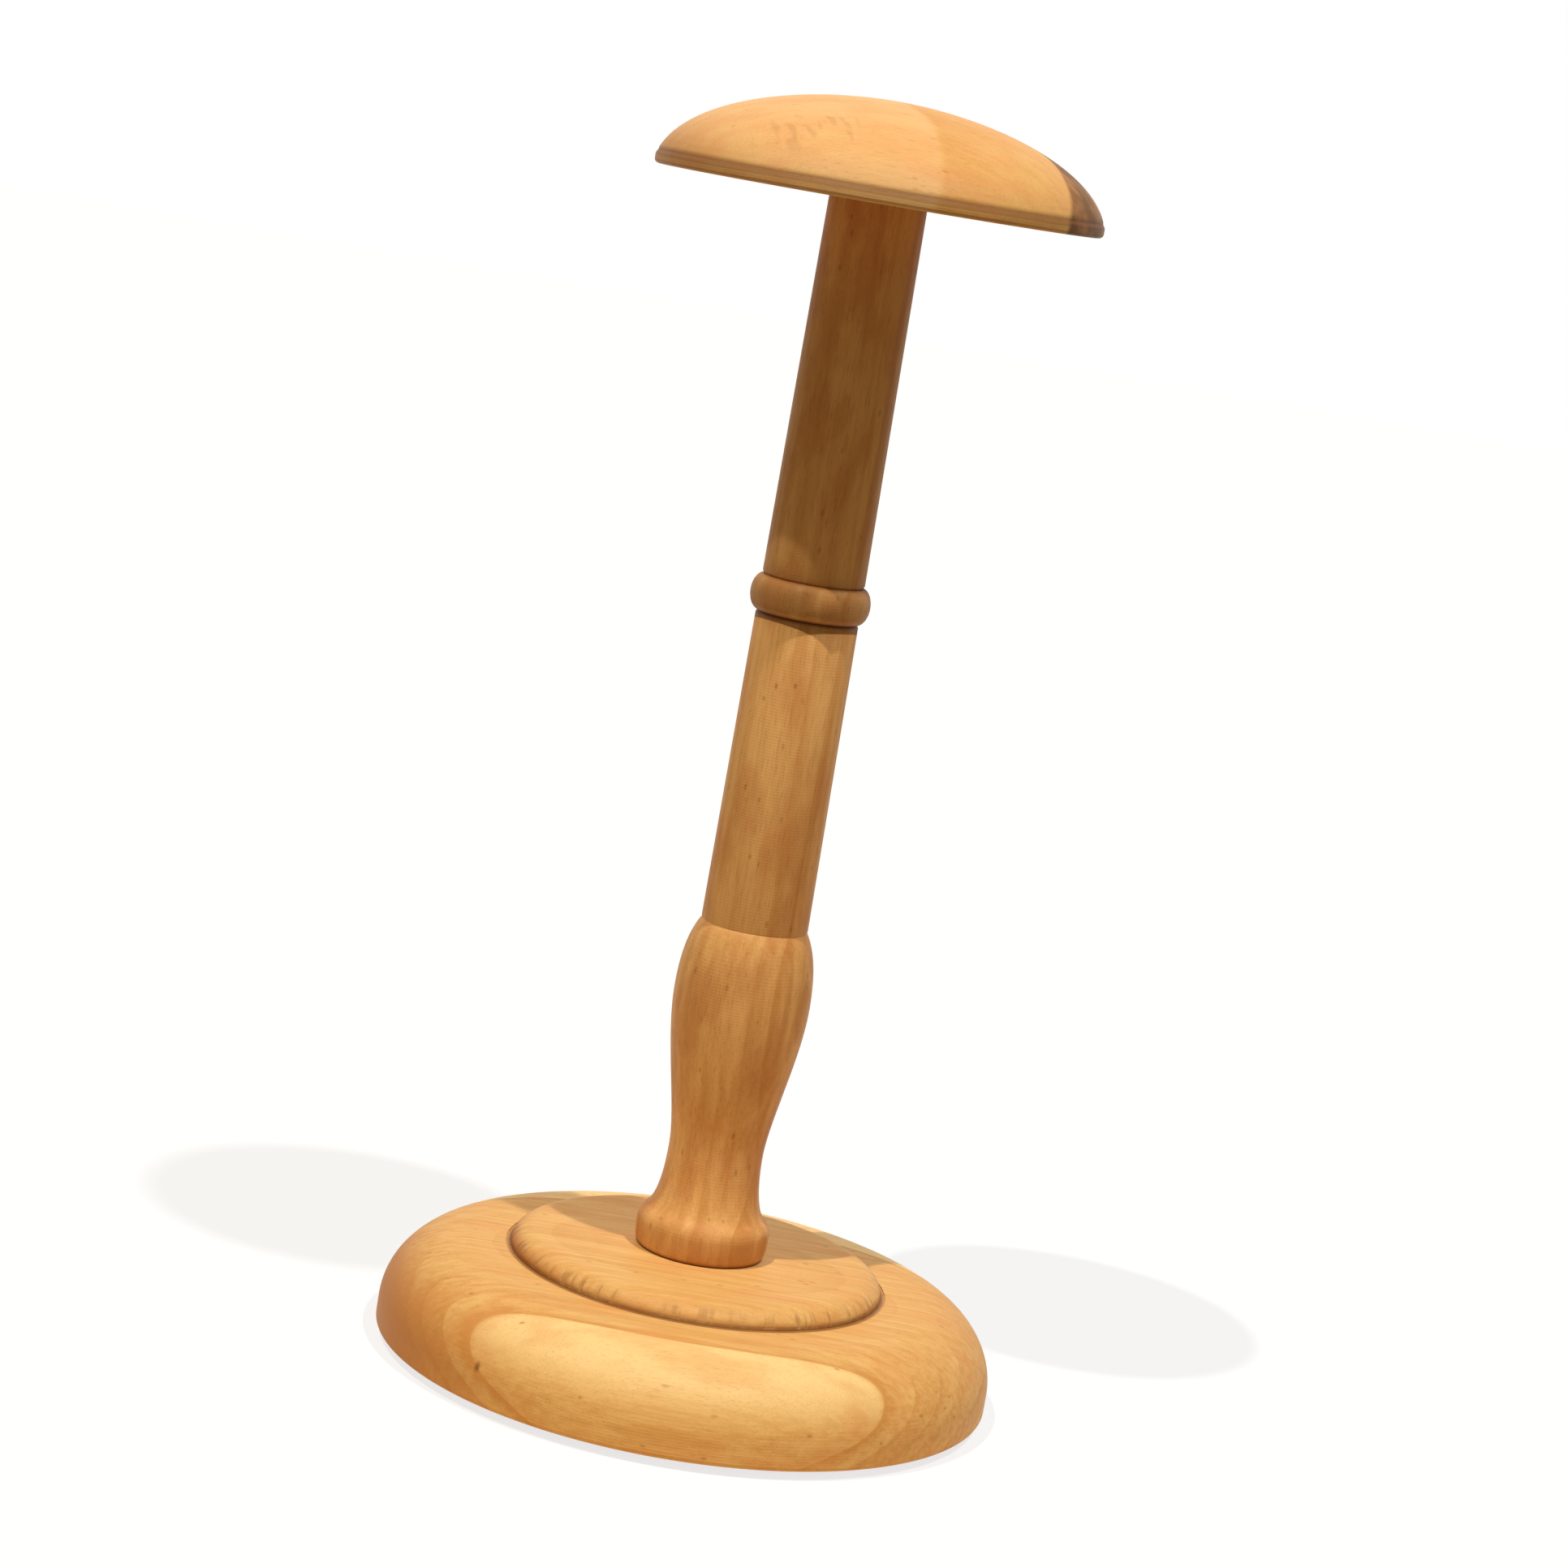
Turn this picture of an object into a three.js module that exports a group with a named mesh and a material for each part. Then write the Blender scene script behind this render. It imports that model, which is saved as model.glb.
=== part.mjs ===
// Wooden hat stand, turned from pale beech: a base with a raised pad, a long stem and a mushroom dome.
// Millimetres, +Z up, origin at the centre of the underside on the plane that it rests on.
import * as THREE from 'three';

// Fits

const fitGap = 0.3; // between faces that meet, and round a tenon in its mortise
const screwClearance = 0.4; // round the screw's shank, on the radius
const counterboreClearance = 2; // round the washer, on the radius

// Base

const baseDiameter = 168;
const baseThickness = 26.2;
const baseLowerEdge = 1.5; // radius that eases the lower edge
const baseWallHeight = 6; // where the rounded upper edge starts, above the underside
const baseEdgeReach = 22.4; // how far the rounded upper edge runs in from the rim
const padDiameter = 102;
const padHeight = 5.3;
const padEdge = 4; // radius of the pad's upper edge

// Foot, waist and baluster of the stem

const footDiameter = 36.4; // at the widest part of its rounded lip
const footUndercut = 1.2; // how far the lip draws in where it meets the pad
const footLipHeight = 6.4; // from the pad up to the widest part of the lip
const footNose = 1.6; // radius that turns the lip over into the cove
const footNoseTurn = 0.6; // how far it turns over, in quarter turns
const coveHeight = 21.4; // from the widest part of the lip up to the waist
const waistDiameter = 25.7;
const waistToSwell = 42.8;
const swellDiameter = 37;
const swellToShoulder = 20;
const shoulderDiameter = 29.2;
const creaseDepth = 0.4; // groove between the baluster and the column
const creaseWidth = 1;

// Column and ring

const columnBottomDiameter = 28.9;
const columnTopDiameter = 25.9;
const lowerColumnLength = 84.9;
const ringThickness = 9.7;
const ringDiameter = 32.2;
const quirkWidth = 0.8; // fine grooves above and below the ring
const quirkDepth = 0.5;
const upperColumnLength = 100.6;

// Tenons turned on the ends of the stem

const lowerTenonDiameter = 22;
const lowerTenonLength = 16;
const upperTenonDiameter = 18;
const upperTenonLength = 14;
const tenonChamfer = 1;

// Dome

const domeDiameter = 118.4;
const rimEdge = 1.2; // radius that eases the lower edge of the rim
const rimBandHeight = 4.2;
const rimQuirkDepth = 0.7; // step at the top of the rim band
const domeRise = 21.6; // from the rim band up to the crown

// Screw, washer and felt

const screwDiameter = 5;
const screwLength = 38;
const screwPoint = 6;
const screwHeadDiameter = 9.6;
const screwHeadHeight = 3.2;
const screwHeadRecess = 2; // from the underside of the base up to the head
const washerDiameter = 14;
const washerThickness = 1.2;
const feltDiameter = 18;
const feltThickness = 2;
const feltInset = 9; // from the edge of the flat underside in to the felt
const feltCount = 4;

// Fullness of the free curves: how far their handles reach, as shares of the stretch they run through

const coveStartIn = 0.47;
const coveStartUp = 0.08;
const coveEndDown = 0.62;
const swellStartUp = 0.24;
const swellEndDown = 0.33;
const shoulderStartUp = 0.5;
const shoulderEndOut = 0.6;
const shoulderEndDown = 0.2;
const domeStartOut = 0.9;
const domeStartUp = 0.62;
const domeEndOut = 0.44;

// How many flats stand for a full turn, and how many steps for a curve

const wideSides = 64;
const stemSides = 48;
const smallSides = 24;
const edgeSteps = 3;
const curveSteps = 9;

const baseWood = new THREE.MeshStandardMaterial({ color: 0xdba96b, roughness: 0.42, metalness: 0 });
const stemWood = new THREE.MeshStandardMaterial({ color: 0xcc995e, roughness: 0.42, metalness: 0 });
const domeWood = new THREE.MeshStandardMaterial({ color: 0xdeab6e, roughness: 0.42, metalness: 0 });
const zincSteel = new THREE.MeshStandardMaterial({ color: 0xb8babd, roughness: 0.35, metalness: 1 });
const greyFelt = new THREE.MeshStandardMaterial({ color: 0x665e54, roughness: 0.98, metalness: 0 });

// Heights above the rest plane, and heights along the stem above the underside of its foot

const baseBottom = feltThickness + fitGap;
const footBottom = baseBottom + baseThickness + padHeight + fitGap;
const waistHeight = footLipHeight + coveHeight;
const shoulderHeight = waistHeight + waistToSwell + swellToShoulder;
const ringBottom = shoulderHeight + lowerColumnLength;
const ringTop = ringBottom + ringThickness;
const stemHeight = ringTop + upperColumnLength;
const domeBottom = footBottom + stemHeight + fitGap;
const washerBottom = baseBottom + screwHeadRecess + screwHeadHeight + fitGap;
const counterboreTop = washerBottom + washerThickness + fitGap;

const stand = new THREE.Group();

// A point of a turned outline: radius outwards, height upwards
function point(radius, height) {
  return new THREE.Vector2(radius, height);
}

// Part of an ellipse in the outline, with its angles in quarter turns from straight outwards
function arc(centre, radiusOut, radiusUp, fromQuarter, toQuarter, steps) {
  const from = fromQuarter * Math.PI / 2;
  const to = toQuarter * Math.PI / 2;
  const curve = new THREE.EllipseCurve(centre.x, centre.y, radiusOut, radiusUp, from, to, to < from, 0);
  return curve.getPoints(steps);
}

// A free curve in the outline between two points, led by two handles
function sweep(start, startHandle, endHandle, end, steps) {
  return new THREE.CubicBezierCurve(start, startHandle, endHandle, end).getPoints(steps);
}

// Turn an outline, given from the bottom up, round the upright axis
function turned(outline, sides) {
  const distinct = outline.filter((p, i) => i === 0 || p.distanceTo(outline[i - 1]) > 1e-6);
  const geometry = new THREE.LatheGeometry(distinct, sides);
  geometry.rotateX(Math.PI / 2);
  return geometry;
}

function addPiece(name, geometry, material, height) {
  const piece = new THREE.Mesh(geometry, material);
  piece.name = name;
  piece.position.z = height;
  stand.add(piece);
  return piece;
}

// Base: one turned board with the raised pad, the mortise from above and the counterbore from below
function makeBase() {
  const radius = baseDiameter / 2;
  const padRadius = padDiameter / 2;
  const padTop = baseThickness + padHeight;
  const boreRadius = washerDiameter / 2 + counterboreClearance;
  const boreTop = counterboreTop - baseBottom;
  const holeRadius = screwDiameter / 2 + screwClearance;
  const mortiseRadius = lowerTenonDiameter / 2 + fitGap;
  const mortiseFloor = padTop - lowerTenonLength;
  const edgeRise = baseThickness - baseWallHeight;
  const lowerCentre = point(radius - baseLowerEdge, baseLowerEdge);
  const upperCentre = point(radius - baseEdgeReach, baseWallHeight);
  const padCentre = point(padRadius - padEdge, padTop - padEdge);
  const outline = [
    point(boreRadius, 0),
    ...arc(lowerCentre, baseLowerEdge, baseLowerEdge, -1, 0, edgeSteps),
    ...arc(upperCentre, baseEdgeReach, edgeRise, 0, 1, curveSteps),
    point(padRadius, baseThickness),
    ...arc(padCentre, padEdge, padEdge, 0, 1, edgeSteps),
    point(mortiseRadius, padTop),
    point(mortiseRadius, mortiseFloor),
    point(holeRadius, mortiseFloor),
    point(holeRadius, boreTop),
    point(boreRadius, boreTop),
    point(boreRadius, 0),
  ];
  addPiece('base', turned(outline, wideSides), baseWood, baseBottom);
}

// Radius of the tapering column at a height above the foot's underside
function columnRadius(height) {
  const share = (height - shoulderHeight) / (stemHeight - shoulderHeight);
  return THREE.MathUtils.lerp(columnBottomDiameter, columnTopDiameter, share) / 2;
}

// Rounded lip of the foot, from the pad up past its widest part and over towards the cove
function footLip() {
  const radius = footDiameter / 2;
  return [
    ...arc(point(radius - footUndercut, footLipHeight), footUndercut, footLipHeight, -1, 0, edgeSteps),
    ...arc(point(radius - footNose, footLipHeight), footNose, footNose, 0, footNoseTurn, edgeSteps),
  ];
}

// Lip, cove, waist, swell and shoulder: one fair curve with upright tangents at the waist and the swell
function baluster() {
  const lip = footLip();
  const coveStart = lip[lip.length - 1];
  const waistRadius = waistDiameter / 2;
  const swellRadius = swellDiameter / 2;
  const shoulderRadius = shoulderDiameter / 2;
  const flare = coveStart.x - waistRadius;
  const coveRise = waistHeight - coveStart.y;
  const draw = swellRadius - shoulderRadius;
  const swellHeight = waistHeight + waistToSwell;
  const waist = point(waistRadius, waistHeight);
  const swell = point(swellRadius, swellHeight);
  return [
    ...lip,
    ...sweep(
      coveStart,
      point(coveStart.x - flare * coveStartIn, coveStart.y + coveRise * coveStartUp),
      point(waistRadius, waistHeight - coveRise * coveEndDown),
      waist,
      curveSteps,
    ),
    ...sweep(
      waist,
      point(waistRadius, waistHeight + waistToSwell * swellStartUp),
      point(swellRadius, swellHeight - waistToSwell * swellEndDown),
      swell,
      curveSteps,
    ),
    ...sweep(
      swell,
      point(swellRadius, swellHeight + swellToShoulder * shoulderStartUp),
      point(shoulderRadius + draw * shoulderEndOut, shoulderHeight - swellToShoulder * shoulderEndDown),
      point(shoulderRadius, shoulderHeight),
      curveSteps,
    ),
  ];
}

// Half-round ring that springs from the fine grooves above and below it
function ringAndQuirks() {
  const middle = (ringBottom + ringTop) / 2;
  const root = columnRadius(middle) - quirkDepth;
  const reach = ringDiameter / 2 - root;
  const grooveLow = ringBottom - quirkWidth;
  const grooveHigh = ringTop + quirkWidth;
  return [
    point(columnRadius(grooveLow), grooveLow),
    ...arc(point(root, middle), reach, ringThickness / 2, -1, 1, curveSteps),
    point(columnRadius(grooveHigh), grooveHigh),
  ];
}

// Stem: one spindle, with a tenon at each end and a hole for the screw in the lower one
function makeStem() {
  const lowerRadius = lowerTenonDiameter / 2;
  const upperRadius = upperTenonDiameter / 2;
  const lowerEnd = -lowerTenonLength;
  const upperEnd = stemHeight + upperTenonLength;
  const holeRadius = screwDiameter / 2 + screwClearance;
  const holeEnd = washerBottom - fitGap + screwLength + screwClearance - footBottom;
  const creaseMiddle = shoulderHeight + creaseWidth / 2;
  const creaseTop = shoulderHeight + creaseWidth;
  const outline = [
    point(0, holeEnd + holeRadius),
    point(holeRadius, holeEnd),
    point(holeRadius, lowerEnd),
    point(lowerRadius - tenonChamfer, lowerEnd),
    point(lowerRadius, lowerEnd + tenonChamfer),
    point(lowerRadius, 0),
    ...baluster(),
    point(columnRadius(shoulderHeight) - creaseDepth, creaseMiddle),
    point(columnRadius(creaseTop), creaseTop),
    ...ringAndQuirks(),
    point(columnTopDiameter / 2, stemHeight),
    point(upperRadius, stemHeight),
    point(upperRadius, upperEnd - tenonChamfer),
    point(upperRadius - tenonChamfer, upperEnd),
    point(0, upperEnd),
  ];
  addPiece('stem', turned(outline, stemSides), stemWood, footBottom);
}

// Dome: a mushroom cap with a narrow band round its rim and a blind mortise in its flat underside
function makeDome() {
  const radius = domeDiameter / 2;
  const skirt = radius - rimQuirkDepth;
  const crown = rimBandHeight + domeRise;
  const mortiseRadius = upperTenonDiameter / 2 + fitGap;
  const outline = [
    point(0, upperTenonLength),
    point(mortiseRadius, upperTenonLength),
    point(mortiseRadius, 0),
    ...arc(point(radius - rimEdge, rimEdge), rimEdge, rimEdge, -1, 0, edgeSteps),
    point(radius, rimBandHeight - rimQuirkDepth),
    ...sweep(
      point(skirt, rimBandHeight),
      point(skirt * domeStartOut, rimBandHeight + domeRise * domeStartUp),
      point(skirt * domeEndOut, crown),
      point(0, crown),
      curveSteps + edgeSteps,
    ),
  ];
  addPiece('dome', turned(outline, wideSides), domeWood, domeBottom);
}

// Wood screw, head down, up through the base into the stem
function makeScrew() {
  const shankRadius = screwDiameter / 2;
  const outline = [
    ...arc(point(0, 0), screwHeadDiameter / 2, screwHeadHeight, -1, 0, edgeSteps),
    point(shankRadius, 0),
    point(shankRadius, screwLength - screwPoint),
    point(0, screwLength),
  ];
  addPiece('base_screw', turned(outline, smallSides), zincSteel, washerBottom - fitGap);
}

// Washer between the screw's head and the top of the counterbore
function makeWasher() {
  const innerRadius = screwDiameter / 2 + screwClearance;
  const outerRadius = washerDiameter / 2;
  const outline = [
    point(innerRadius, 0),
    point(outerRadius, 0),
    point(outerRadius, washerThickness),
    point(innerRadius, washerThickness),
    point(innerRadius, 0),
  ];
  addPiece('screw_washer', turned(outline, smallSides), zincSteel, washerBottom);
}

// Felt pads, spaced evenly near the edge of the flat underside
function makeFeltPads() {
  const feltRadius = feltDiameter / 2;
  const circleRadius = baseDiameter / 2 - baseLowerEdge - feltInset - feltRadius;
  const outline = [
    point(0, 0),
    point(feltRadius, 0),
    point(feltRadius, feltThickness),
    point(0, feltThickness),
  ];
  for (let i = 0; i < feltCount; i += 1) {
    const angle = (i + 0.5) * 2 * Math.PI / feltCount;
    const pad = addPiece(`felt_pad_${i + 1}`, turned(outline, smallSides), greyFelt, 0);
    pad.position.x = circleRadius * Math.cos(angle);
    pad.position.y = circleRadius * Math.sin(angle);
  }
}

makeBase();
makeStem();
makeDome();
makeScrew();
makeWasher();
makeFeltPads();

export default stand;
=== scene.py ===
# Wooden hat stand: a base with a raised pad, a turned stem and a mushroom dome, in beech under satin varnish,
# with the screw, washer and felt pads underneath. Blender works in metres, +Z up; sizes are named here in
# millimetres, and `MM` turns them into metres.
import math

import bpy
from mathutils import Matrix, Vector


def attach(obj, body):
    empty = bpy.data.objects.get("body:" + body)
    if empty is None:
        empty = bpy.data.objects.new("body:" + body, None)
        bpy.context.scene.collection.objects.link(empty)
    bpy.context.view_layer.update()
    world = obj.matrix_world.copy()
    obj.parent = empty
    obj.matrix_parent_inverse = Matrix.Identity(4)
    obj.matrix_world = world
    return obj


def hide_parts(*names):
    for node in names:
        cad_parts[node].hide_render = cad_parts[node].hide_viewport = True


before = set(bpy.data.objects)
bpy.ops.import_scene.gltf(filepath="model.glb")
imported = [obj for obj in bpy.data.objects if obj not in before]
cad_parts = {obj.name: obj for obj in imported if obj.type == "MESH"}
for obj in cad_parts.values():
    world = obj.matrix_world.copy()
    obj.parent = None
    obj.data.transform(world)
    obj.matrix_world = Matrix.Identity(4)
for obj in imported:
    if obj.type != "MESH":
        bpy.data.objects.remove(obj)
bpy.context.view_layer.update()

MM = 0.001

# Fits

fit_gap = 0.3
screw_clearance = 0.4
counterbore_clearance = 2

# Base

base_diameter = 168
base_thickness = 26.2
base_lower_edge = 1.5
base_wall_height = 6
base_edge_reach = 22.4
pad_diameter = 102
pad_height = 5.3
pad_edge_reach = 6.6
pad_edge_rise = 5
pad_crease_width = 1.3
pad_crease_depth = 0.3

# Foot, waist and baluster of the stem

foot_diameter = 36.4
foot_undercut = 0.9
foot_lip_height = 6.4
foot_nose = 5.2
foot_nose_turn = 0.6
cove_height = 21.4
waist_diameter = 25.7
waist_to_swell = 42.8
swell_diameter = 37
swell_to_shoulder = 20
shoulder_diameter = 29.2
crease_depth = 0.15
crease_width = 1

# Column and ring

column_bottom_diameter = 28.9
column_top_diameter = 25.9
lower_column_length = 84.9
ring_thickness = 9.7
ring_diameter = 32.2
quirk_width = 0.8
quirk_depth = 0.5
upper_column_length = 100.6

# Tenons

lower_tenon_diameter = 22
lower_tenon_length = 16
upper_tenon_diameter = 18
upper_tenon_length = 14
tenon_chamfer = 1

# Dome

dome_diameter = 118.4
rim_edge = 1.2
rim_band_height = 4.2
rim_quirk_depth = 0.7
rim_quirk_width = 2.0
dome_rise = 21.6

# Screw, washer and felt

screw_diameter = 5
screw_core_diameter = 3.6
screw_length = 38
screw_point = 6
screw_plain_length = 12
screw_pitch = 1.8
screw_head_diameter = 9.6
screw_head_height = 3.2
screw_head_recess = 2
recess_width = 4.6
recess_slot = 0.95
recess_depth = 1.8
washer_diameter = 14
washer_thickness = 1.2
washer_edge = 0.25
felt_diameter = 18
felt_thickness = 2
felt_edge = 0.5
felt_inset = 9
felt_count = 4
felt_fluff = 0.18

# Fullness of the free curves: how far their handles reach, as shares of the stretch they run through

cove_start_in = 0.47
cove_start_up = 0.08
cove_end_down = 0.62
swell_start_up = 0.24
swell_end_down = 0.33
shoulder_start_up = 0.5
shoulder_end_out = 0.6
shoulder_end_down = 0.2
dome_start_out = 0.9
dome_start_up = 0.62
dome_end_out = 0.44

# Flats in a full turn, steps in a curve, the angle past which an edge stays crisp, and reach of the welds

wide_sides = 256
stem_sides = 160
small_sides = 64
edge_steps = 8
pad_edge_steps = 12
washer_edge_steps = 3
felt_edge_steps = 5
curve_steps = 28
thread_steps = 28
thread_corners = 4
crisp_angle = math.radians(38)
weld_distance = 0.002
cut_weld_distance = 0.01

# Heights above the rest plane, heights along the stem above the underside of its foot, and the screw's hole

base_bottom = felt_thickness + fit_gap
pad_top = base_bottom + base_thickness + pad_height
foot_bottom = pad_top + fit_gap
waist_height = foot_lip_height + cove_height
shoulder_height = waist_height + waist_to_swell + swell_to_shoulder
ring_bottom = shoulder_height + lower_column_length
ring_top = ring_bottom + ring_thickness
ring_middle = (ring_bottom + ring_top) / 2
stem_height = ring_top + upper_column_length
dome_bottom = foot_bottom + stem_height + fit_gap
rim_quirk_height = dome_bottom + rim_band_height - rim_quirk_width / 2
washer_bottom = base_bottom + screw_head_recess + screw_head_height + fit_gap
counterbore_top = washer_bottom + washer_thickness + fit_gap
screw_seat = washer_bottom - fit_gap
screw_hole_radius = screw_diameter / 2 + screw_clearance

# Camera: where it stands, how it is turned, its lens on its sensor, and how near and far it sees, in metres

camera_distance = 1018.4
camera_height = 334.4
camera_pitch = math.radians(9.49)
camera_turn = math.radians(-0.08)
camera_roll = math.radians(9.74)
sensor_width = 36
camera_lens = 88.8
nearest_seen = 0.05
farthest_seen = 30


def colour(red, green, blue):
    """A colour written as it shows on a screen, 0 to 255, as the linear values that Blender works in."""
    linear = []
    for part in (red, green, blue):
        share = part / 255
        linear.append(share / 12.92 if share <= 0.04045 else ((share + 0.055) / 1.055) ** 2.4)
    return (*linear, 1.0)


def metres(vector):
    return tuple(value * MM for value in vector)


def add_object(name, data):
    item = bpy.data.objects.new(name, data)
    bpy.context.scene.collection.objects.link(item)
    return item


# Node tree helpers

start_words = {int: "Int", float: "Float", tuple: "Vector"}


def feed(socket, value):
    """Gives an input a link from another node's output, from a node's first output, or a plain value."""
    if isinstance(value, bpy.types.Node):
        value = value.outputs[0]
    if isinstance(value, bpy.types.NodeSocket):
        socket.id_data.links.new(value, socket)
    else:
        socket.default_value = value


def feed_named(sockets, **values):
    """Feeds several sockets by their names, which are written with underscores for spaces."""
    for name, value in values.items():
        feed(sockets[name.replace("_", " ")], value)


def add_node(tree, kind, settings=None, **inputs):
    node = tree.nodes.new(kind)
    for name, value in (settings or {}).items():
        setattr(node, name, value)
    feed_named(node.inputs, **inputs)
    return node


# Helpers that work on values. At least one value is an output, and the new node goes into its tree


def tree_of(*values):
    return next(value.id_data for value in values if hasattr(value, "id_data"))


def operate(kind, operation, values):
    """Outputs of a node whose inputs are filled with values in order."""
    node = add_node(tree_of(*values), kind, {"operation": operation})
    for socket, value in zip(node.inputs, values):
        feed(socket, value)
    return node.outputs


def maths(operation, *values):
    return operate("ShaderNodeMath", operation, values)[0]


def times(first, second):
    return maths("MULTIPLY", first, second)


def plus(first, second):
    return maths("ADD", first, second)


def minus(first, second):
    return maths("SUBTRACT", first, second)


def over(first, second):
    return maths("DIVIDE", first, second)


def whole_maths(operation, *values):
    """Maths on whole numbers, for counting rows and columns."""
    return operate("FunctionNodeIntegerMath", operation, values)[0]


def vector_maths(operation, *values):
    outputs = operate("ShaderNodeVectorMath", operation, values)
    return outputs["Value" if operation == "LENGTH" else "Vector"]


def combine(x, y, z):
    return add_node(tree_of(x, y, z), "ShaderNodeCombineXYZ", X=x, Y=y, Z=z).outputs[0]


def separate(vector):
    return tuple(add_node(tree_of(vector), "ShaderNodeSeparateXYZ", Vector=vector).outputs)


def ramp(value, low, high, to_low=0.0, to_high=1.0):
    """A smooth step from one level to another while a value goes from low to high."""
    smooth = {"interpolation_type": "SMOOTHSTEP"}
    levels = {"From_Min": low, "From_Max": high, "To_Min": to_low, "To_Max": to_high}
    return add_node(tree_of(value), "ShaderNodeMapRange", smooth, Value=value, **levels).outputs["Result"]


def noise(place, scale, detail, **more):
    node = add_node(tree_of(place), "ShaderNodeTexNoise", Vector=place, Scale=scale, Detail=detail, **more)
    return node.outputs[0]


def chance(number):
    """A random share, 0 to 1, that stays the same for the same number."""
    node = add_node(tree_of(number), "ShaderNodeTexWhiteNoise", {"noise_dimensions": "1D"}, W=number)
    return node.outputs["Value"]


def mix_colour(share, first, second):
    node = add_node(tree_of(share), "ShaderNodeMix", {"data_type": "RGBA"})
    colour_inputs = [s for s in node.inputs if s.type == "RGBA"]
    for socket, value in zip((node.inputs[0], *colour_inputs), (share, first, second)):
        feed(socket, value)
    return next(s for s in node.outputs if s.type == "RGBA")


def empty_tree(owner):
    """The node tree of a material or of the world, without the nodes that it starts with."""
    owner.use_nodes = True
    owner.node_tree.nodes.clear()
    return owner.node_tree


def new_tree(name, kind, inputs, **outputs):
    """A node group. Each input has its starting value, or a word for its kind, and each output a word."""
    tree = bpy.data.node_groups.new(name, f"{kind}NodeTree")
    for socket_name, start in inputs.items():
        word = start if isinstance(start, str) else start_words[type(start)]
        socket = tree.interface.new_socket(name=socket_name, in_out="INPUT", socket_type=f"NodeSocket{word}")
        if word != start:
            socket.default_value = start
    for socket_name, word in outputs.items():
        plain_name = socket_name.replace("_", " ")
        tree.interface.new_socket(name=plain_name, in_out="OUTPUT", socket_type=f"NodeSocket{word}")
    given = tree.nodes.new("NodeGroupInput").outputs
    result = tree.nodes.new("NodeGroupOutput").inputs
    return tree, given, result


def place_group(tree, group, given=(), **inputs):
    """Places a shader node group. It takes over each given socket that has the name of one of its inputs."""
    node = tree.nodes.new("ShaderNodeGroup")
    node.node_tree = group
    for socket in given:
        if socket.name and socket.name in node.inputs:
            feed(node.inputs[socket.name], socket)
    feed_named(node.inputs, **inputs)
    return node.outputs


# Geometry Nodes that turn an outline, thread the screw and set out the felt pads

fluff_scale = 900.0
fluff_span = (0.38, 0.5)


def join(tree, *parts):
    node = tree.nodes.new("GeometryNodeJoinGeometry")
    for part in parts:
        feed(node.inputs[0], part)
    return node


def weld(tree, given, geometry):
    return add_node(tree, "GeometryNodeMergeByDistance", Geometry=geometry, Distance=given["Weld Distance"])


def end_tree(tree, given, socket, geometry):
    """Ends a geometry tree: copies become real, and the mesh gets its material and goes out."""
    whole = add_node(tree, "GeometryNodeRealizeInstances", Geometry=geometry)
    feed(socket, add_node(tree, "GeometryNodeSetMaterial", Geometry=whole, Material=given["Finish"]))
    return tree


def turning_tree():
    """Turns an outline round the upright axis. The outline is a row of points: X outwards, Z up."""
    inputs = {
        "Outline": "Geometry", "Sides": wide_sides, "Finish": "Material",
        "Crisp Angle": crisp_angle, "Weld Distance": weld_distance * MM,
    }
    tree, given, result = new_tree("Turn on the lathe", "Geometry", inputs, Turned="Geometry")
    size = add_node(tree, "GeometryNodeAttributeDomainSize", Geometry=given["Outline"])
    columns = whole_maths("ADD", given["Sides"], 1)
    points = size.outputs["Point Count"]
    grid = add_node(tree, "GeometryNodeMeshGrid", Vertices_X=points, Vertices_Y=columns)
    index = tree.nodes.new("GeometryNodeInputIndex").outputs[0]
    row = whole_maths("DIVIDE_FLOOR", index, columns)
    column = whole_maths("MODULO", index, columns)
    settings = {"data_type": "FLOAT_VECTOR"}
    sample = add_node(tree, "GeometryNodeSampleIndex", settings, Geometry=given["Outline"], Index=row)
    place = tree.nodes.new("GeometryNodeInputPosition")
    feed(next(s for s in sample.inputs if s.name == "Value" and s.type == "VECTOR"), place)
    radius, _, height = separate(next(s for s in sample.outputs if s.type == "VECTOR"))
    angle = over(times(column, 2 * math.pi), given["Sides"])
    x = times(radius, maths("COSINE", angle))
    y = times(radius, maths("SINE", angle))
    around = combine(x, y, height)
    moved = add_node(tree, "GeometryNodeSetPosition", Geometry=grid, Position=around)
    outwards = add_node(tree, "GeometryNodeFlipFaces", Mesh=weld(tree, given, moved))
    shading = "GeometryNodeSetShadeSmooth"
    smooth = add_node(tree, shading, {"domain": "FACE"}, Geometry=outwards, Shade_Smooth=True)
    bend = tree.nodes.new("GeometryNodeInputMeshEdgeAngle").outputs["Unsigned Angle"]
    crisp = maths("GREATER_THAN", bend, given["Crisp Angle"])
    edges = add_node(tree, shading, {"domain": "EDGE"}, Geometry=smooth, Selection=crisp, Shade_Smooth=False)
    return end_tree(tree, given, result["Turned"], edges)


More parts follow.
